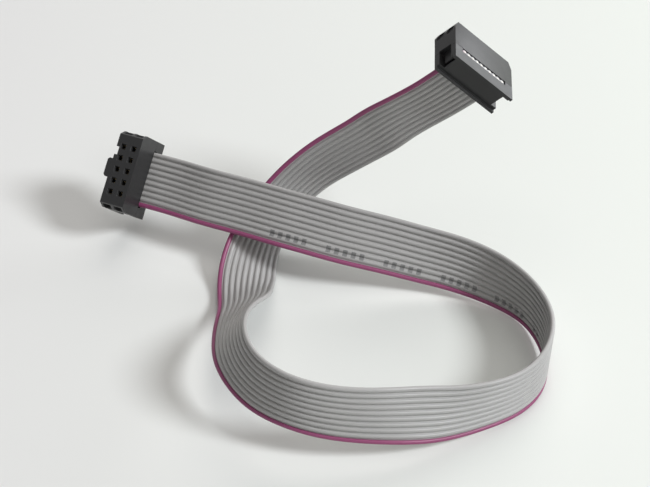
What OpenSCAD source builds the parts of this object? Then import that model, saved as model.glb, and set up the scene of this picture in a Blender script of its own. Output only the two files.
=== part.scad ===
// Flat ribbon cable with a ten-way socket clamped on each end.
// The ribbon lies in a loose loop: it stands on its marked edge round the
// right-hand bend, twists flat under its own first run and climbs to the
// second socket. All sizes are in millimetres and +Z is up.

/* [Ribbon] */
// distance between neighbouring wires
wire_pitch = 1.27; // [1:0.01:2]
// thickness of the ribbon over each wire
wire_height = 1; // [0.5:0.05:1.5]
// flat width on top of each wire
wire_crown = 0.6; // [0.2:0.05:1]
// thickness of the thin web between wires
web_height = 0.24; // [0.1:0.02:0.6]
// gap left between neighbouring wires
web_gap = 0.02; // [0:0.01:0.1]
// how far each cut wire end sits inside its socket
cut_setback = 0.2; // [0:0.05:1]

/* [Socket] */
// socket length across the ribbon
socket_length = 17.3; // [15:0.1:20]
// socket width along the ribbon
socket_width = 5.8; // [5:0.1:8]
// height from the ribbon's middle down to the mating face
mating_drop = 7.3; // [6:0.1:8]
// height from the ribbon's middle up to the cover's outer face
cover_rise = 3.3; // [2.5:0.1:4]
// chamfer height on the two mating-end corners
nose_height = 1.7; // [0.5:0.1:2]
// chamfer length on the two mating-end corners
nose_length = 0.9; // [0.3:0.1:1.5]

/* [Key and marks] */
// width of the polarising key
key_width = 4.2; // [3:0.1:5]
// how far the key stands out
key_proud = 1.15; // [0.5:0.05:2]
// width of the pin-one side notch
notch_width = 1.8; // [1:0.1:3]
// distance from the key to the notch
notch_gap = 1; // [0.2:0.1:2]
// depth of the notch into the side
notch_depth = 0.7; // [0.3:0.1:1.5]

/* [Pin field] */
// pin spacing along both rows
pin_pitch = 2.54; // [2:0.01:3]
// square opening for one pin
pin_opening = 0.9; // [0.7:0.05:1.2]
// width of the tapered lead-in at the face
lead_in = 1.3; // [1:0.1:2]
// depth of the lead-in
lead_depth = 0.4; // [0.2:0.1:1]
// width of the inner contact chamber
chamber = 1.5; // [1.2:0.1:1.8]

/* [Cover] */
// width of the channel in the cover's outer face
channel_width = 4.5; // [3:0.1:5.5]
// depth of that channel
channel_depth = 0.7; // [0.3:0.1:1.5]
// width of the notch in each end of the cover
end_notch = 3.2; // [2:0.1:4]
// length of the notch along the socket
notch_reach = 1.5; // [0.8:0.1:2]

/* [Hidden] */
wire_count = 10;
pin_columns = 5;
half_length = socket_length / 2;
half_width = socket_width / 2;
half_height = wire_height / 2;
half_web = web_height / 2;
half_span = (wire_pitch - web_gap) / 2;
clamp_gap = 0.03;
first_wire = wire_pitch * (wire_count - 1) / 2;
first_column = pin_pitch * (pin_columns - 1) / 2;
row_offset = pin_pitch / 2;
latch_half = 1.2;
key_bevel = 0.4;
recess_depth = 1.15;
recess_foot = -1;
hook_room = 1.9;
hook_room_top = 2.3;
grip_offset = 1.35;
grip_half = 0.95;
grip_depth = 0.9;
grip_span = [0.5, 2.6];
skirt_start = 6.5;
notch_start = -key_width / 2 - notch_gap;
small = 0.01;

// where the ribbon passes through the middle of each socket
socket_a_at = [-39.75, 34.25, 12.25];
socket_a_turn = [-177, 46, -114];
socket_b_at = [32.5, 23.25, 46];
socket_b_turn = [-106, -44, -171];

// ribbon route between the sockets: x, y, z of its middle line and its lean in
// degrees, 0 standing on the marked edge and -90 lying flat
route = [
    [-24, 25, 13.5, 40],
    [-15.5, 21.5, 13.5, 39],
    [-8.5, 18, 13.5, 40],
    [-1.5, 15.5, 13, 39],
    [6.5, 13, 12, 34],
    [14.5, 12, 10.5, 28],
    [22.5, 11, 8.5, 24],
    [29.5, 9.5, 7.5, 22],
    [37, 6, 6.5, 16],
    [43, 0, 6.5, 4],
    [46, -7, 7, 3],
    [47.5, -15.5, 7.5, 4],
    [46, -23.5, 7, 2],
    [41.5, -30, 6.5, 4],
    [34.5, -34.5, 7, 3],
    [26.5, -37.5, 7.5, -7],
    [20.5, -39.5, 9, -16],
    [12.5, -41.5, 10.5, -10],
    [4, -42, 11.5, -7],
    [-4, -41, 13, -6],
    [-11, -36.5, 13.5, -12],
    [-15, -30, 13.5, -19],
    [-17, -21.5, 12.5, -32],
    [-16.5, -13, 10, -43],
    [-15.5, -6.5, 7.5, -56],
    [-14.5, 0.5, 4.5, -69],
    [-15, 8, 1.5, -79],
    [-14.5, 16.5, 3, -119],
    [-12, 24, 6, -143],
    [-7, 28.5, 11.5, -178],
    [-1.5, 29.5, 17, -192],
    [4.5, 29, 22, -188],
    [12, 28, 27.5, -189],
    [16, 26.5, 32, -194]
];
// spacing of the extra route points that make the ribbon leave each socket straight
lead_step = 8;
// rings drawn along the ribbon for every two route points
rings_per_pair = 3;

// vector helpers
function unit(v) = v / norm(v);
function spin_x(v, a) = [v.x, v.y * cos(a) - v.z * sin(a), v.y * sin(a) + v.z * cos(a)];
function spin_y(v, a) = [v.x * cos(a) + v.z * sin(a), v.y, v.z * cos(a) - v.x * sin(a)];
function spin_z(v, a) = [v.x * cos(a) - v.y * sin(a), v.x * sin(a) + v.y * cos(a), v.z];
function turned(v, a) = spin_z(spin_y(spin_x(v, a.x), a.y), a.z);

// standing direction and sideways direction of a ribbon that runs along d
function standing(d) = unit([0, 0, 1] - d * d.z);
function sideways(d) = cross(d, standing(d));
function lean_of(across, d) = atan2(across * sideways(d), -(across * standing(d)));

// direction of travel and lean at each socket
travel_a = turned([0, -1, 0], socket_a_turn);
travel_b = turned([0, -1, 0], socket_b_turn);
leave_a = socket_a_at + travel_a * half_width;
enter_b = socket_b_at - travel_b * half_width;
lean_a = lean_of(turned([1, 0, 0], socket_a_turn), travel_a);
lean_b = lean_of(turned([1, 0, 0], socket_b_turn), travel_b) - 360;

// full list of route points, with straight leads at both sockets
function with_lean(p, lean) = [p.x, p.y, p.z, lean];
guide = concat(
    [for (k = [-1, 0, 1]) with_lean(leave_a + travel_a * lead_step * k, lean_a)],
    route,
    [for (k = [-1, 0, 1]) with_lean(enter_b + travel_b * lead_step * k, lean_b)]
);
spans = len(guide) - 3;

// smooth curve through the guide: position with lean, and its direction
function blend(k, u) =
    guide[k] * pow(1 - u, 3) / 6
    + guide[k + 1] * (3 * pow(u, 3) - 6 * u * u + 4) / 6
    + guide[k + 2] * (-3 * pow(u, 3) + 3 * u * u + 3 * u + 1) / 6
    + guide[k + 3] * pow(u, 3) / 6;
function slope(k, u) =
    guide[k] * (-pow(1 - u, 2)) / 2
    + guide[k + 1] * (3 * u * u - 4 * u) / 2
    + guide[k + 2] * (-3 * u * u + 2 * u + 1) / 2
    + guide[k + 3] * u * u / 2;
function span_of(t) = min(floor(t), spans - 1);
function at(t) = blend(span_of(t), t - span_of(t));
function heading(t) = let (s = slope(span_of(t), t - span_of(t))) unit([s.x, s.y, s.z]);

// one station of the ribbon: centre, direction across it, direction out of it
function station(p, d, lean) =
    let (across = sideways(d) * sin(lean) - standing(d) * cos(lean))
    [[p.x, p.y, p.z], across, cross(d, across)];
function curve_station(t) = station(at(t), heading(t), at(t)[3]);
ring_total = floor(spans * rings_per_pair / 2);
stations = concat(
    [station(leave_a - travel_a * (socket_width - cut_setback), travel_a, lean_a)],
    [for (k = [0 : ring_total]) curve_station(k * spans / ring_total)],
    [station(enter_b + travel_b * (socket_width - cut_setback), travel_b, lean_b)]
);

// outline of one wire: across the ribbon, out of the ribbon
wire_outline = [
    [half_span, -half_web],
    [half_span, half_web],
    [wire_crown / 2, half_height],
    [-wire_crown / 2, half_height],
    [-half_span, half_web],
    [-half_span, -half_web],
    [-wire_crown / 2, -half_height],
    [wire_crown / 2, -half_height]
];
outline_count = len(wire_outline);

grey_plastic = [0.2, 0.2, 0.21];
cover_plastic = [0.16, 0.16, 0.17];
contact_metal = [0.85, 0.72, 0.4];
wire_grey = [0.62, 0.62, 0.62];
wire_marked = [0.72, 0.2, 0.45];

function wire_place(number) = first_wire - wire_pitch * (number - 1);
function column_place(number) = first_column - pin_pitch * floor((number - 1) / 2);
function row_place(number) = number % 2 == 1 ? row_offset : -row_offset;

// box from one corner to the opposite corner
module span_box(low, high) {
    translate(low)
        cube(high - low);
}

// one wire of the ribbon, swept along every station
module wire(number) {
    shift = wire_place(number);
    last = len(stations) - 1;
    points = [
        for (s = stations)
            for (q = wire_outline)
                s[0] + s[1] * (shift + q.x) + s[2] * q.y
    ];
    start_cap = [for (k = [1 : outline_count - 2]) [0, k, k + 1]];
    end_cap = [
        for (k = [1 : outline_count - 2])
            [last * outline_count, last * outline_count + k + 1, last * outline_count + k]
    ];
    sides = [
        for (r = [0 : last - 1])
            for (k = [0 : outline_count - 1])
                let (
                    here = r * outline_count + k,
                    side = r * outline_count + (k + 1) % outline_count,
                    onward = here + outline_count,
                    far = side + outline_count,
                    flip = k == outline_count / 2
                )
                    each flip
                        ? [[here, onward, side], [side, onward, far]]
                        : [[here, far, side], [here, onward, far]]
    ];
    color(number == 1 ? wire_marked : wire_grey)
        polyhedron(points = points, faces = concat(start_cap, end_cap, sides), convexity = 10);
}

// place something drawn round the ribbon's middle inside socket a or b
module in_socket_a() {
    translate(socket_a_at)
        rotate(socket_a_turn)
            children();
}

module in_socket_b() {
    translate(socket_b_at)
        rotate(socket_b_turn)
            children();
}

// outer block of the housing, with chamfered mating-end corners
module housing_block() {
    translate([0, half_width, 0])
        rotate([90, 0, 0])
            linear_extrude(socket_width)
                polygon([
                    [-half_length, -half_height],
                    [-half_length, nose_height - mating_drop],
                    [nose_length - half_length, -mating_drop],
                    [half_length - nose_length, -mating_drop],
                    [half_length, nose_height - mating_drop],
                    [half_length, -half_height]
                ]);
}

// polarising key with bevelled corners
module key() {
    side = key_width / 2;
    outer = half_width + key_proud;
    translate([0, 0, -mating_drop])
        linear_extrude(mating_drop - half_height)
            polygon([
                [-side, half_width - small],
                [-side, outer - key_bevel],
                [key_bevel - side, outer],
                [side - key_bevel, outer],
                [side, outer - key_bevel],
                [side, half_width - small]
            ]);
}

// hooked post that keeps the cover from lifting off; side is 1 or -1
module latch_post(side) {
    translate([0, latch_half, 0])
        rotate([90, 0, 0])
            linear_extrude(2 * latch_half)
                polygon([
                    [side * 7.15, -1.5],
                    [side * 7.5, -1.5],
                    [side * 7.5, 1.6],
                    [side * 7.4, 1.8],
                    [side * 7.2, 1.8],
                    [side * 6.85, 1.4],
                    [side * 6.85, 1.1],
                    [side * 7.15, 1.1]
                ]);
}

// room for one contact: lead-in, pin opening, chamber and blade slot
module contact_room(number) {
    x = column_place(number);
    y = row_place(number);
    lean_to = wire_place(number) > x ? 1 : -1;
    translate([x, y, -mating_drop - small])
        rotate([0, 0, 45])
            cylinder(
                h = lead_depth + small,
                d1 = lead_in * sqrt(2),
                d2 = pin_opening * sqrt(2),
                $fn = 4
            );
    span_box(
        [x - pin_opening / 2, y - pin_opening / 2, -mating_drop],
        [x + pin_opening / 2, y + pin_opening / 2, 0]
    );
    span_box(
        [x - chamber / 2, y - chamber / 2, 0.9 - mating_drop],
        [x + chamber / 2, y + chamber / 2, 0]
    );
    span_box(
        [x + min(0, lean_to * 1.2), y - 0.3, -1.7],
        [x + max(0, lean_to * 1.2), y + 0.3, 0]
    );
}

module housing() {
    color(grey_plastic)
        difference() {
            union() {
                housing_block();
                key();
                latch_post(1);
                latch_post(-1);
            }
            for (number = [1 : wire_count])
                contact_room(number);
            // notch beside the key
            span_box(
                [notch_start - notch_width, half_width - notch_depth, -mating_drop - 1],
                [notch_start, half_width + 1, 1.6 - mating_drop]
            );
            for (side = [-1, 1]) {
                // pocket for the cover's foot
                span_box(
                    [min(side * 6.4, side * 7.15), -latch_half - 0.15, -1.6],
                    [max(side * 6.4, side * 7.15), latch_half + 0.15, 0]
                );
                // recess in the end, below the notch in the cover
                span_box(
                    [
                        min(side * (half_length - recess_depth), side * 12),
                        -end_notch / 2,
                        recess_foot
                    ],
                    [
                        max(side * (half_length - recess_depth), side * 12),
                        end_notch / 2,
                        0
                    ]
                );
                // shallow grip slots in each end
                for (y = [-grip_offset, grip_offset])
                    span_box(
                        [
                            side * half_length - grip_depth,
                            y - grip_half,
                            grip_span[0] - mating_drop
                        ],
                        [
                            side * half_length + grip_depth,
                            y + grip_half,
                            grip_span[1] - mating_drop
                        ]
                    );
            }
        }
}

// foot under each end of the cover, which the housing's hook catches
module cover_foot(side) {
    translate([0, latch_half, 0])
        rotate([90, 0, 0])
            linear_extrude(2 * latch_half)
                polygon([
                    [side * 6.45, 0.6],
                    [side * 6.45, -1.5],
                    [side * 7.05, -1.5],
                    [side * 7.05, -0.8],
                    [side * 6.75, -0.5],
                    [side * 6.75, 0.6]
                ]);
}

// block that closes the gap beside the ribbon at one corner of the cover
module cover_skirt(side, edge) {
    span_box(
        [
            min(side * skirt_start, side * half_length),
            min(edge * end_notch / 2, edge * half_width),
            clamp_gap - half_height
        ],
        [
            max(side * skirt_start, side * half_length),
            max(edge * end_notch / 2, edge * half_width),
            half_height + clamp_gap + small
        ]
    );
}

module cover() {
    base = half_height + clamp_gap;
    color(cover_plastic)
        union() {
            difference() {
                span_box(
                    [-half_length, -half_width, base],
                    [half_length, half_width, cover_rise]
                );
                // channel along the outer face
                span_box(
                    [-half_length - 1, -channel_width / 2, cover_rise - channel_depth],
                    [half_length + 1, channel_width / 2, cover_rise + 1]
                );
                for (side = [-1, 1]) {
                    // notch in each end, above the latch posts
                    span_box(
                        [
                            min(side * (half_length - notch_reach), side * 12),
                            -end_notch / 2,
                            base - 1
                        ],
                        [
                            max(side * (half_length - notch_reach), side * 12),
                            end_notch / 2,
                            cover_rise + 1
                        ]
                    );
                    // deeper room inside it for the hooks
                    span_box(
                        [
                            min(side * (half_length - hook_room), side * 12),
                            -end_notch / 2,
                            base - 1
                        ],
                        [
                            max(side * (half_length - hook_room), side * 12),
                            end_notch / 2,
                            hook_room_top
                        ]
                    );
                }
                // pocket for the tip of each contact blade
                for (number = [1 : wire_count])
                    span_box(
                        [wire_place(number) - 0.55, row_place(number) - 0.3, base - 1],
                        [wire_place(number) + 0.55, row_place(number) + 0.3, 1.8]
                    );
            }
            cover_foot(1);
            cover_foot(-1);
            for (side = [-1, 1])
                for (edge = [-1, 1])
                    cover_skirt(side, edge);
        }
}

// spring contact: two beams grip a pin and a forked blade bites the wire
module contact(number) {
    x = column_place(number);
    y = row_place(number);
    w = wire_place(number);
    color(contact_metal)
        union() {
            for (side = [-1, 1])
                span_box(
                    [x + min(side * 0.34, side * 0.54), y - 0.45, 1.2 - mating_drop],
                    [x + max(side * 0.34, side * 0.54), y + 0.45, -2.2]
                );
            span_box([x - 0.75, y - 0.45, -2.3], [x + 0.75, y + 0.45, -1.7]);
            span_box(
                [min(x - 0.4, w - 0.45), y - 0.15, -1.7 - small],
                [max(x + 0.4, w + 0.45), y + 0.15, -1]
            );
            translate([w, y + 0.15, 0])
                rotate([90, 0, 0])
                    linear_extrude(0.3)
                        polygon([
                            [-0.45, -1 - small],
                            [0.45, -1 - small],
                            [0.45, 1.3],
                            [0.3, 1.6],
                            [0.13, 0.9],
                            [0.13, -0.5],
                            [-0.13, -0.5],
                            [-0.13, 0.9],
                            [-0.3, 1.6],
                            [-0.45, 1.3]
                        ]);
        }
}

in_socket_a() housing();  // housing_a
in_socket_a() cover();  // cover_a
in_socket_b() housing();  // housing_b
in_socket_b() cover();  // cover_b
in_socket_a() contact(1);  // contact_a01
in_socket_a() contact(2);  // contact_a02
in_socket_a() contact(3);  // contact_a03
in_socket_a() contact(4);  // contact_a04
in_socket_a() contact(5);  // contact_a05
in_socket_a() contact(6);  // contact_a06
in_socket_a() contact(7);  // contact_a07
in_socket_a() contact(8);  // contact_a08
in_socket_a() contact(9);  // contact_a09
in_socket_a() contact(10);  // contact_a10
in_socket_b() contact(1);  // contact_b01
in_socket_b() contact(2);  // contact_b02
in_socket_b() contact(3);  // contact_b03
in_socket_b() contact(4);  // contact_b04
in_socket_b() contact(5);  // contact_b05
in_socket_b() contact(6);  // contact_b06
in_socket_b() contact(7);  // contact_b07
in_socket_b() contact(8);  // contact_b08
in_socket_b() contact(9);  // contact_b09
in_socket_b() contact(10);  // contact_b10
wire(1);  // wire_01
wire(2);  // wire_02
wire(3);  // wire_03
wire(4);  // wire_04
wire(5);  // wire_05
wire(6);  // wire_06
wire(7);  // wire_07
wire(8);  // wire_08
wire(9);  // wire_09
wire(10);  // wire_10
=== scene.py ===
import math

import bpy
from mathutils import Euler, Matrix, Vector


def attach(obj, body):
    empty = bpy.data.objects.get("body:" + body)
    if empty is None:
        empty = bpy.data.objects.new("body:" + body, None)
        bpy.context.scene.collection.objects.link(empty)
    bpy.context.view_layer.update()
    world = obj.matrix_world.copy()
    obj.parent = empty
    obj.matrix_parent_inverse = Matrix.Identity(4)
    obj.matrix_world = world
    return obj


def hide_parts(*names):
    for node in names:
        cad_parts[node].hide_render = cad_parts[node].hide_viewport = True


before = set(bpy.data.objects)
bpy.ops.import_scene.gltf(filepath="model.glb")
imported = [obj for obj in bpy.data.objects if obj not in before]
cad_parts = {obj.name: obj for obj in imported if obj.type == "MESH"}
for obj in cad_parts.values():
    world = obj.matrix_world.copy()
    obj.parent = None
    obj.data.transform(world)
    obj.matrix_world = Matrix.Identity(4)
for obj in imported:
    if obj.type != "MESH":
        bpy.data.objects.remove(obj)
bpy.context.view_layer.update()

# Everything is in metres, in the row frame; MM turns millimetres into metres.
MM = 0.001

# Camera
CAMERA_AT = (0.002, -0.30011, 0.25013)
CAMERA_TILT = 52.511
LENS = 102.8
SENSOR_WIDTH = 36

# Ribbon, as in the CAD part
WIRE_COUNT = 10
WIRE_PITCH = 1.27 * MM
WIRE_RADIUS = 0.5 * MM
HALF_WEB = 0.12 * MM
CUT_SETBACK = 0.2 * MM
FIRST_WIRE = WIRE_PITCH * (WIRE_COUNT - 1) / 2
RINGS_PER_SPAN = 10
SLEEVE_RINGS = 4

# Outline of the ribbon: where the round of a wire meets the web, in degrees, and the web itself
WIRE_STEPS = 8
MARKED_WIRE_STEPS = 20
WEB_ANGLE = 22
WEB_FLAT = 0.17 * MM
WEB_RISE = 0.02 * MM
WEB_OVERLAP = 0.35 * MM

# Sockets, as in the CAD part
SOCKET_WIDTH = 5.8 * MM
SOCKET_A_AT = (-39.75, 34.25, 12.25)
SOCKET_A_TURN = (-177, 46, -114)
SOCKET_B_AT = (32.5, 23.25, 46)
SOCKET_B_TURN = (-106, -44, -171)
LEAD_STEP = 8

# Middle line of the ribbon in millimetres, and its lean in degrees: 0 stands on
# the marked edge and -90 lies flat.
ROUTE = [
    (-24, 25, 13.5, 40),
    (-15.5, 21.5, 13.5, 39),
    (-8.5, 18, 13.5, 40),
    (-1.5, 15.5, 13, 39),
    (6.5, 13, 12, 34),
    (14.5, 12, 10.5, 28),
    (22.5, 11, 8.5, 24),
    (29.5, 9.5, 7.5, 22),
    (37, 6, 6.5, 16),
    (43, 0, 6.5, 4),
    (46, -7, 7, 3),
    (47.5, -15.5, 7.5, 4),
    (46, -23.5, 7, 2),
    (41.5, -30, 6.5, 4),
    (34.5, -34.5, 7, 3),
    (26.5, -37.5, 7.5, -7),
    (20.5, -39.5, 9, -16),
    (12.5, -41.5, 10.5, -10),
    (4, -42, 11.5, -7),
    (-4, -41, 13, -6),
    (-11, -36.5, 13.5, -12),
    (-15, -30, 13.5, -19),
    (-17, -21.5, 12.5, -32),
    (-16.5, -13, 10, -43),
    (-15.5, -6.5, 7.5, -56),
    (-14.5, 0.5, 4.5, -69),
    (-15, 8, 1.5, -79),
    (-14.5, 16.5, 3, -119),
    (-12, 24, 6, -143),
    (-7, 28.5, 11.5, -178),
    (-1.5, 29.5, 17, -192),
    (4.5, 29, 22, -188),
    (12, 28, 27.5, -189),
    (16, 26.5, 32, -194),
]

# Printed dashes, measured along the ribbon from socket a and across it
PRINT_START = 36 * MM
PRINT_END = 104 * MM
PRINT_MIDDLE = 3.7 * MM
PRINT_HALF_HEIGHT = 0.7 * MM
DASH_PERIOD = 1.8 * MM
DASH_SHARE = 0.55
GROUP_PERIOD = 12.5 * MM
GROUP_SHARE = 0.72

# Cut wire ends
STRAND_RADIUS = 0.063 * MM
STRAND_PROUD = 0.05 * MM
STRAND_ROOT = -0.3 * MM
STRAND_TIP = 0.7
STRAND_SIDES = 10

# Rounded edges of the moulded pieces and of the contacts
MOULDED_EDGE = 0.05 * MM
CONTACT_EDGE = 0.02 * MM

# Light: name, direction it comes from, distance and size in metres, power in watts, colour
COOL = (0.96, 0.98, 1)
WARM = (1, 0.965, 0.93)
LIGHTS = [
    ("key", (1.117, -0.478, 1), 2.4, 0.7, 45, COOL),
    ("overhead", (0, 0, 1), 2.6, 2.4, 16, WARM),
    ("front", (0.3, -1, 0.9), 2.4, 2.2, 7, WARM),
    ("right", (0.9, 0.7, 0.3), 2.4, 1.2, 14, COOL),
    ("back", (0.3, 1, 0.9), 2.4, 1.8, 17, WARM),
]
WORLD_LEVEL = 0.1
BACKDROP_LEVEL = 0.42


# ---------------------------------------------------------------- route

def turned(direction, turn):
    """The direction after the CAD part's turn, given in degrees about X, Y and Z."""
    angles = [math.radians(angle) for angle in turn]
    return Euler(angles, "XYZ").to_matrix() @ Vector(direction)


def standing(travel):
    up = Vector((0, 0, 1))
    return (up - travel * travel.z).normalized()


def sideways(travel):
    return travel.cross(standing(travel))


def lean_of(across, travel):
    return math.degrees(math.atan2(across.dot(sideways(travel)), -across.dot(standing(travel))))


def socket_lead(exit_point, travel, lean):
    """Three guide points that make the ribbon run straight at a socket's face."""
    points = []
    for step in (-1, 0, 1):
        point = exit_point + travel * LEAD_STEP * MM * step
        points.append((*point, lean))
    return points


def guide_points():
    """The whole guide in metres: the lead at socket a, the route and the lead at socket b."""
    lean_a = lean_of(turned((1, 0, 0), SOCKET_A_TURN), travel_a)
    lean_b = lean_of(turned((1, 0, 0), SOCKET_B_TURN), travel_b) - 360
    middle = [(x * MM, y * MM, z * MM, lean) for x, y, z, lean in ROUTE]
    return (
        socket_lead(leave_a, travel_a, lean_a)
        + middle
        + socket_lead(enter_b, travel_b, lean_b)
    )


def weigh(guide, start, weights):
    return [sum(guide[start + k][axis] * weights[k] for k in range(4)) for axis in range(4)]


def station(centre, travel, lean):
    """One place on the ribbon: its centre, the way across it and the way out of it."""
    turn = math.radians(lean)
    across = sideways(travel) * math.sin(turn) - standing(travel) * math.cos(turn)
    return centre, across, travel.cross(across)


def curve_station(guide, position):
    """The station at a position counted in spans along the guide's smooth curve."""
    start = min(int(position), len(guide) - 4)
    u = position - start
    place = weigh(guide, start, (
        (1 - u) ** 3 / 6,
        (3 * u ** 3 - 6 * u * u + 4) / 6,
        (-3 * u ** 3 + 3 * u * u + 3 * u + 1) / 6,
        u ** 3 / 6,
    ))
    slope = weigh(guide, start, (
        -(1 - u) ** 2 / 2,
        (3 * u * u - 4 * u) / 2,
        (-3 * u * u + 2 * u + 1) / 2,
        u * u / 2,
    ))
    return station(Vector(place[:3]), Vector(slope[:3]).normalized(), place[3])


def ribbon_stations():
    """All stations, from the cut end in socket a to the cut end in socket b."""
    guide = guide_points()
    spans = len(guide) - 3
    ring_count = spans * RINGS_PER_SPAN
    hidden = SOCKET_WIDTH - CUT_SETBACK
    rings = []
    for k in range(SLEEVE_RINGS):
        inside = hidden * (1 - k / SLEEVE_RINGS)
        rings.append(station(leave_a - travel_a * inside, travel_a, guide[1][3]))
    rings += [curve_station(guide, k / RINGS_PER_SPAN) for k in range(ring_count + 1)]
    for k in range(SLEEVE_RINGS):
        inside = hidden * (k + 1) / SLEEVE_RINGS
        rings.append(station(enter_b + travel_b * inside, travel_b, guide[-2][3]))
    return rings


travel_a = turned((0, -1, 0), SOCKET_A_TURN)
travel_b = turned((0, -1, 0), SOCKET_B_TURN)
leave_a = Vector(SOCKET_A_AT) * MM + travel_a * SOCKET_WIDTH / 2
enter_b = Vector(SOCKET_B_AT) * MM - travel_b * SOCKET_WIDTH / 2
stations = ribbon_stations()


def wire_place(number):
    """Where a wire sits across the ribbon; wire 1 is the marked edge."""
    return FIRST_WIRE - WIRE_PITCH * (number - 1)


# ---------------------------------------------------------------- camera

def add_camera():
    data = bpy.data.cameras.new("camera")
    data.lens = LENS
    data.sensor_width = SENSOR_WIDTH
    data.clip_start = 0.01
    camera = bpy.data.objects.new("camera", data)
    camera.location = CAMERA_AT
    camera.rotation_euler = (math.radians(CAMERA_TILT), 0, 0)
    bpy.context.scene.collection.objects.link(camera)
    bpy.context.scene.camera = camera


add_camera()


# ---------------------------------------------------------------- ribbon

def lobe(middle, from_angle, to_angle, steps):
    """Points round one wire's insulation, as (across, out) pairs."""
    points = []
    for k in range(steps + 1):
        angle = math.radians(from_angle + (to_angle - from_angle) * k / steps)
        across = middle + WIRE_RADIUS * math.cos(angle)
        points.append((across, WIRE_RADIUS * math.sin(angle)))
    return points


def valley(middle, side):
    """Points of the web between two wires, on the side +1 or -1."""
    edge = side * (HALF_WEB + WEB_RISE)
    return [
        (middle - side * WEB_FLAT, edge),
        (middle, side * HALF_WEB),
        (middle + side * WEB_FLAT, edge),
    ]


def grey_outline():
    """Closed outline of the nine grey wires and their webs, the last one reaching wire 1."""
    reach = wire_place(1) - WEB_OVERLAP
    top = []
    bottom = []
    for number in range(WIRE_COUNT, 1, -1):
        middle = wire_place(number)
        far_angle = 180 if number == WIRE_COUNT else 180 - WEB_ANGLE
        top += lobe(middle, far_angle, WEB_ANGLE, WIRE_STEPS)
        top += valley(middle + WIRE_PITCH / 2, 1)
    for number in range(2, WIRE_COUNT + 1):
        middle = wire_place(number)
        far_angle = 180 if number == WIRE_COUNT else 180 - WEB_ANGLE
        bottom += valley(middle + WIRE_PITCH / 2, -1)
        bottom += lobe(middle, -WEB_ANGLE, -far_angle, WIRE_STEPS)
    return top[:-1] + [(reach, HALF_WEB), (reach, -HALF_WEB)] + bottom[1:-1]


def marked_outline():
    """Closed outline of the marked wire on the ribbon's edge."""
    return lobe(wire_place(1), 180, -180, MARKED_WIRE_STEPS)[:-1]


def sweep(name, outline):
    """A tube with the outline at every station, with its place on the ribbon stored."""
    count = len(outline)
    vertices = []
    along = []
    travelled = 0
    for k, (centre, across, out) in enumerate(stations):
        if k:
            travelled += (centre - stations[k - 1][0]).length
        for x, y in outline:
            vertices.append(centre + across * x + out * y)
            along.append(travelled)
    faces = [tuple(range(count))]
    last = (len(stations) - 1) * count
    faces.append(tuple(reversed(range(last, last + count))))
    for ring in range(len(stations) - 1):
        for k in range(count):
            here = ring * count + k
            side = ring * count + (k + 1) % count
            faces.append((here, here + count, side + count, side))
    mesh = bpy.data.meshes.new(name)
    mesh.from_pydata(vertices, [], faces)
    store(mesh, "along", along)
    store(mesh, "across", [x for x, y in outline] * len(stations))
    store(mesh, "height", [y for x, y in outline] * len(stations))
    for polygon in mesh.polygons:
        polygon.use_smooth = polygon.index > 1
    piece = bpy.data.objects.new(name, mesh)
    bpy.context.scene.collection.objects.link(piece)
    return piece


def store(mesh, name, values):
    layer = mesh.attributes.new(name, "FLOAT", "POINT")
    layer.data.foreach_set("value", values)


# ---------------------------------------------------------------- materials

class Shader:
    """A new material with short ways to add and join nodes."""

    def __init__(self, name):
        self.material = bpy.data.materials.new(name)
        self.material.use_nodes = True
        self.tree = self.material.node_tree
        self.surface = self.tree.nodes["Principled BSDF"]

    def node(self, kind, **settings):
        node = self.tree.nodes.new(kind)
        for name, value in settings.items():
            setattr(node, name, value)
        return node

    def join(self, output, target):
        self.tree.links.new(output, target)

    def place(self):
        return self.node("ShaderNodeTexCoord").outputs["Object"]

    def attribute(self, name):
        return self.node("ShaderNodeAttribute", attribute_name=name).outputs["Fac"]

    def noise(self, vector, scale, detail=3):
        node = self.node("ShaderNodeTexNoise")
        node.inputs["Scale"].default_value = scale
        node.inputs["Detail"].default_value = detail
        self.join(vector, node.inputs["Vector"])
        return node.outputs["Fac"]

    def math(self, operation, *values):
        node = self.node("ShaderNodeMath", operation=operation)
        for socket, value in zip(node.inputs, values):
            if isinstance(value, (int, float)):
                socket.default_value = value
            else:
                self.join(value, socket)
        return node.outputs[0]

    def spread(self, value, low, high):
        """Maps a 0 to 1 value to the range low to high."""
        node = self.node("ShaderNodeMapRange")
        node.inputs["To Min"].default_value = low
        node.inputs["To Max"].default_value = high
        self.join(value, node.inputs["Value"])
        return node.outputs["Result"]

    def mix(self, factor, first, second):
        """Mixes two colours; each is a colour or another node's output."""
        node = self.node("ShaderNodeMix", data_type="RGBA")
        self.join(factor, node.inputs["Factor"])
        for socket, colour in ((node.inputs[6], first), (node.inputs[7], second)):
            if isinstance(colour, tuple):
                socket.default_value = (*colour, 1)
            else:
                self.join(colour, socket)
        return node.outputs[2]

    def bump(self, height, distance, strength=1):
        node = self.node("ShaderNodeBump")
        node.inputs["Distance"].default_value = distance
        node.inputs["Strength"].default_value = strength
        self.join(height, node.inputs["Height"])
        self.join(node.outputs["Normal"], self.surface.inputs["Normal"])

    def colour(self, output):
        self.join(output, self.surface.inputs["Base Color"])

    def roughness(self, output):
        self.join(output, self.surface.inputs["Roughness"])

    def streaks(self):
        """Fine lines along the ribbon, left by drawing it through a die."""
        vector = self.node("ShaderNodeCombineXYZ")
        self.join(self.math("MULTIPLY", self.attribute("along"), 60), vector.inputs["X"])
        self.join(self.math("MULTIPLY", self.attribute("across"), 5000), vector.inputs["Y"])
        self.join(self.math("MULTIPLY", self.attribute("height"), 5000), vector.inputs["Z"])
        return self.noise(vector.outputs["Vector"], 1)


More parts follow.
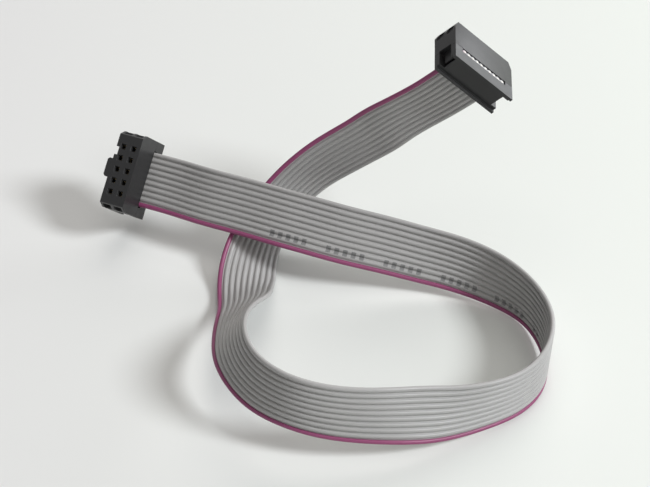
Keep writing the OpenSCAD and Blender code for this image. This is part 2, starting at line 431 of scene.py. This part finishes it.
def printed_mask(shader):
    """1 where the printed dashes are, on the side of the ribbon away from the covers."""
    along = shader.attribute("along")
    offset = shader.math("SUBTRACT", shader.attribute("across"), PRINT_MIDDLE)
    in_band = shader.math("LESS_THAN", shader.math("ABSOLUTE", offset), PRINT_HALF_HEIGHT)
    under = shader.math("LESS_THAN", shader.attribute("height"), 0)
    after = shader.math("GREATER_THAN", along, PRINT_START)
    before = shader.math("LESS_THAN", along, PRINT_END)
    masks = [in_band, under, after, before]
    for period, share in ((DASH_PERIOD, DASH_SHARE), (GROUP_PERIOD, GROUP_SHARE)):
        phase = shader.math("FRACT", shader.math("DIVIDE", along, period))
        masks.append(shader.math("LESS_THAN", phase, share))
    total = masks[0]
    for mask in masks[1:]:
        total = shader.math("MULTIPLY", total, mask)
    return total


def grey_insulation():
    shader = Shader("grey_insulation")
    place = shader.place()
    cloudy = shader.mix(shader.noise(place, 90), (0.335, 0.33, 0.325), (0.405, 0.4, 0.395))
    streaked = shader.mix(shader.streaks(), cloudy, (0.39, 0.386, 0.382))
    patchy = shader.spread(shader.noise(place, 1800), 0.35, 0.9)
    ink = shader.math("MULTIPLY", printed_mask(shader), patchy)
    shader.colour(shader.mix(ink, streaked, (0.09, 0.09, 0.095)))
    shader.roughness(shader.spread(shader.noise(place, 400), 0.34, 0.46))
    shader.bump(shader.streaks(), 0.00001, 0.5)
    return shader.material


def marked_insulation():
    shader = Shader("marked_insulation")
    place = shader.place()
    cloudy = shader.mix(shader.noise(place, 120), (0.22, 0.045, 0.12), (0.29, 0.062, 0.16))
    shader.colour(shader.mix(shader.streaks(), cloudy, (0.27, 0.055, 0.15)))
    shader.roughness(shader.spread(shader.noise(place, 400), 0.34, 0.46))
    shader.bump(shader.streaks(), 0.00001, 0.5)
    return shader.material


# Cut faces of the wires, painted paler than the insulation: a painted highlight where the cut ends
# catch the light, in two tones mixed by fine noise.
def cut_insulation(name, colour, highlight_speckle):
    shader = Shader(name)
    place = shader.place()
    shader.colour(shader.mix(shader.noise(place, 6000), colour, highlight_speckle))
    shader.roughness(shader.spread(shader.noise(place, 3000), 0.5, 0.7))
    shader.bump(shader.noise(place, 9000), 0.00002, 0.6)
    return shader.material


def tinned_copper():
    shader = Shader("tinned_copper")
    place = shader.place()
    shader.surface.inputs["Metallic"].default_value = 1
    shader.colour(shader.mix(shader.noise(place, 8000), (0.83, 0.76, 0.68), (0.9, 0.87, 0.82)))
    shader.roughness(shader.spread(shader.noise(place, 9000), 0.25, 0.45))
    shader.bump(shader.noise(place, 20000), 0.00001, 0.5)
    return shader.material


def contact_brass():
    shader = Shader("contact_brass")
    place = shader.place()
    shader.surface.inputs["Metallic"].default_value = 1
    shader.colour(shader.mix(shader.noise(place, 1500), (0.72, 0.55, 0.26), (0.8, 0.66, 0.38)))
    shader.roughness(shader.spread(shader.noise(place, 4000), 0.22, 0.4))
    shader.bump(shader.noise(place, 12000), 0.00001, 0.4)
    return shader.material


def moulded_plastic(name, dark, light):
    """Near-black moulded plastic with a fine grain and faint flow marks."""
    shader = Shader(name)
    place = shader.place()
    shader.colour(shader.mix(shader.noise(place, 220), dark, light))
    shader.roughness(shader.spread(shader.noise(place, 700), 0.3, 0.42))
    shader.bump(shader.noise(place, 7000), 0.00001, 0.6)
    return shader.material


# ---------------------------------------------------------------- pieces

def add_ribbon():
    grey = sweep("grey_wires", grey_outline())
    grey.data.materials.append(grey_insulation())
    # The cut faces get pale colours, a painted highlight for the light on the cut ends.
    grey.data.materials.append(cut_insulation("cut_grey", (0.42, 0.42, 0.43), (0.58, 0.58, 0.58)))
    marked = sweep("marked_wire", marked_outline())
    marked.data.materials.append(marked_insulation())
    marked.data.materials.append(cut_insulation("cut_marked", (0.48, 0.42, 0.45), (0.6, 0.54, 0.57)))
    for piece in (grey, marked):
        for polygon in piece.data.polygons[:2]:
            polygon.material_index = 1
        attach(piece, "cable")
    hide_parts(*[f"wire_{number:02d}" for number in range(2, WIRE_COUNT + 1)])
    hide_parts("wire_01")
    return grey, marked


def strand_places():
    """Seven strands of one wire: one in the middle and six round it."""
    places = [(0, 0)]
    for k in range(6):
        angle = math.radians(60 * k)
        places.append((2 * STRAND_RADIUS * math.cos(angle), 2 * STRAND_RADIUS * math.sin(angle)))
    return places


def add_strands(name, end, travel, material):
    """The bare strands that show at the cut ends of all ten wires, facing along travel."""
    centre, across, out = end
    turning = math.copysign(2 * math.pi, across.cross(out).dot(travel))
    vertices = []
    faces = []
    for number in range(1, WIRE_COUNT + 1):
        for x, y in strand_places():
            start = len(vertices)
            for depth in (STRAND_ROOT, STRAND_PROUD * 0.6, STRAND_PROUD):
                radius = STRAND_RADIUS * (STRAND_TIP if depth == STRAND_PROUD else 1)
                for k in range(STRAND_SIDES):
                    angle = turning * k / STRAND_SIDES
                    side = wire_place(number) + x + radius * math.cos(angle)
                    up = y + radius * math.sin(angle)
                    vertices.append(centre + across * side + out * up + travel * depth)
            for ring in range(2):
                for k in range(STRAND_SIDES):
                    here = start + ring * STRAND_SIDES + k
                    side = start + ring * STRAND_SIDES + (k + 1) % STRAND_SIDES
                    faces.append((here, side, side + STRAND_SIDES, here + STRAND_SIDES))
            faces.append(tuple(start + 2 * STRAND_SIDES + k for k in range(STRAND_SIDES)))
            faces.append(tuple(start + k for k in reversed(range(STRAND_SIDES))))
    mesh = bpy.data.meshes.new(name)
    mesh.from_pydata(vertices, [], faces)
    mesh.materials.append(material)
    piece = bpy.data.objects.new(name, mesh)
    bpy.context.scene.collection.objects.link(piece)
    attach(piece, "cable")
    return piece


def soften_edges(node, width):
    """Rounds the moulded edges a little, without moving the CAD part's own vertices."""
    weld = node.modifiers.new("weld", "WELD")
    weld.merge_threshold = 0.000001
    flat = node.modifiers.new("flat", "DECIMATE")
    flat.decimate_type = "DISSOLVE"
    flat.angle_limit = math.radians(1)
    bevel = node.modifiers.new("bevel", "BEVEL")
    bevel.width = width
    bevel.segments = 2
    bevel.limit_method = "ANGLE"
    bevel.angle_limit = math.radians(35)
    bevel.use_clamp_overlap = True


def finish_node(name, material, edge):
    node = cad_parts[name]
    node.data.materials.clear()
    node.data.materials.append(material)
    soften_edges(node, edge)


def finish_sockets():
    housing = moulded_plastic("housing_plastic", (0.017, 0.017, 0.018), (0.024, 0.024, 0.025))
    cover = moulded_plastic("cover_plastic", (0.015, 0.015, 0.016), (0.021, 0.021, 0.022))
    brass = contact_brass()
    for end in ("a", "b"):
        finish_node(f"housing_{end}", housing, MOULDED_EDGE)
        finish_node(f"cover_{end}", cover, MOULDED_EDGE)
        for number in range(1, WIRE_COUNT + 1):
            finish_node(f"contact_{end}{number:02d}", brass, CONTACT_EDGE)


grey_wires, marked_wire = add_ribbon()
copper = tinned_copper()
strands_a = add_strands("strands_a", stations[0], -travel_a, copper)
strands_b = add_strands("strands_b", stations[-1], travel_b, copper)
finish_sockets()


# ---------------------------------------------------------------- stage

def add_floor():
    size = 3
    mesh = bpy.data.meshes.new("floor")
    corners = [(-size, -size, 0), (size, -size, 0), (size, size, 0), (-size, size, 0)]
    mesh.from_pydata(corners, [], [(0, 1, 2, 3)])
    shader = Shader("floor")
    shader.surface.inputs["Roughness"].default_value = 0.8
    shader.surface.inputs["Specular IOR Level"].default_value = 0.2
    split = shader.node("ShaderNodeSeparateXYZ")
    shader.join(shader.place(), split.inputs["Vector"])
    # The floor is painted lighter and slightly greener towards the right, a painted falloff of the
    # light from the right.
    rightness = shader.math("ADD", shader.math("MULTIPLY", split.outputs["X"], 5), 0.5)
    shader.colour(shader.mix(rightness, (0.735, 0.735, 0.735), (0.81, 0.845, 0.805)))
    mesh.materials.append(shader.material)
    floor = bpy.data.objects.new("floor", mesh)
    bpy.context.scene.collection.objects.link(floor)


def add_light(name, direction, distance, size, power, colour):
    """A round soft light that looks at the middle of the part from a direction."""
    data = bpy.data.lights.new(name, "AREA")
    data.shape = "DISK"
    data.size = size
    data.energy = power
    data.color = colour
    light = bpy.data.objects.new(name, data)
    towards = Vector(direction).normalized()
    light.location = towards * distance
    light.rotation_euler = towards.to_track_quat("Z", "Y").to_euler()
    bpy.context.scene.collection.objects.link(light)


def set_world():
    """Even soft light, with a pale backdrop for the camera and for reflections."""
    world = bpy.data.worlds.new("world")
    bpy.context.scene.world = world
    world.use_nodes = True
    tree = world.node_tree
    background = tree.nodes["Background"]
    background.inputs["Color"].default_value = (1, 1, 1, 1)
    path = tree.nodes.new("ShaderNodeLightPath")
    seen = path.outputs["Is Camera Ray"]
    for name in ("Is Glossy Ray", "Is Transmission Ray"):
        either = tree.nodes.new("ShaderNodeMath")
        either.operation = "MAXIMUM"
        tree.links.new(seen, either.inputs[0])
        tree.links.new(path.outputs[name], either.inputs[1])
        seen = either.outputs[0]
    level = tree.nodes.new("ShaderNodeMapRange")
    level.inputs["To Min"].default_value = WORLD_LEVEL
    level.inputs["To Max"].default_value = BACKDROP_LEVEL
    tree.links.new(seen, level.inputs["Value"])
    tree.links.new(level.outputs["Result"], background.inputs["Strength"])


add_floor()
for light in LIGHTS:
    add_light(*light)
set_world()
bpy.context.scene.view_settings.view_transform = "Standard"
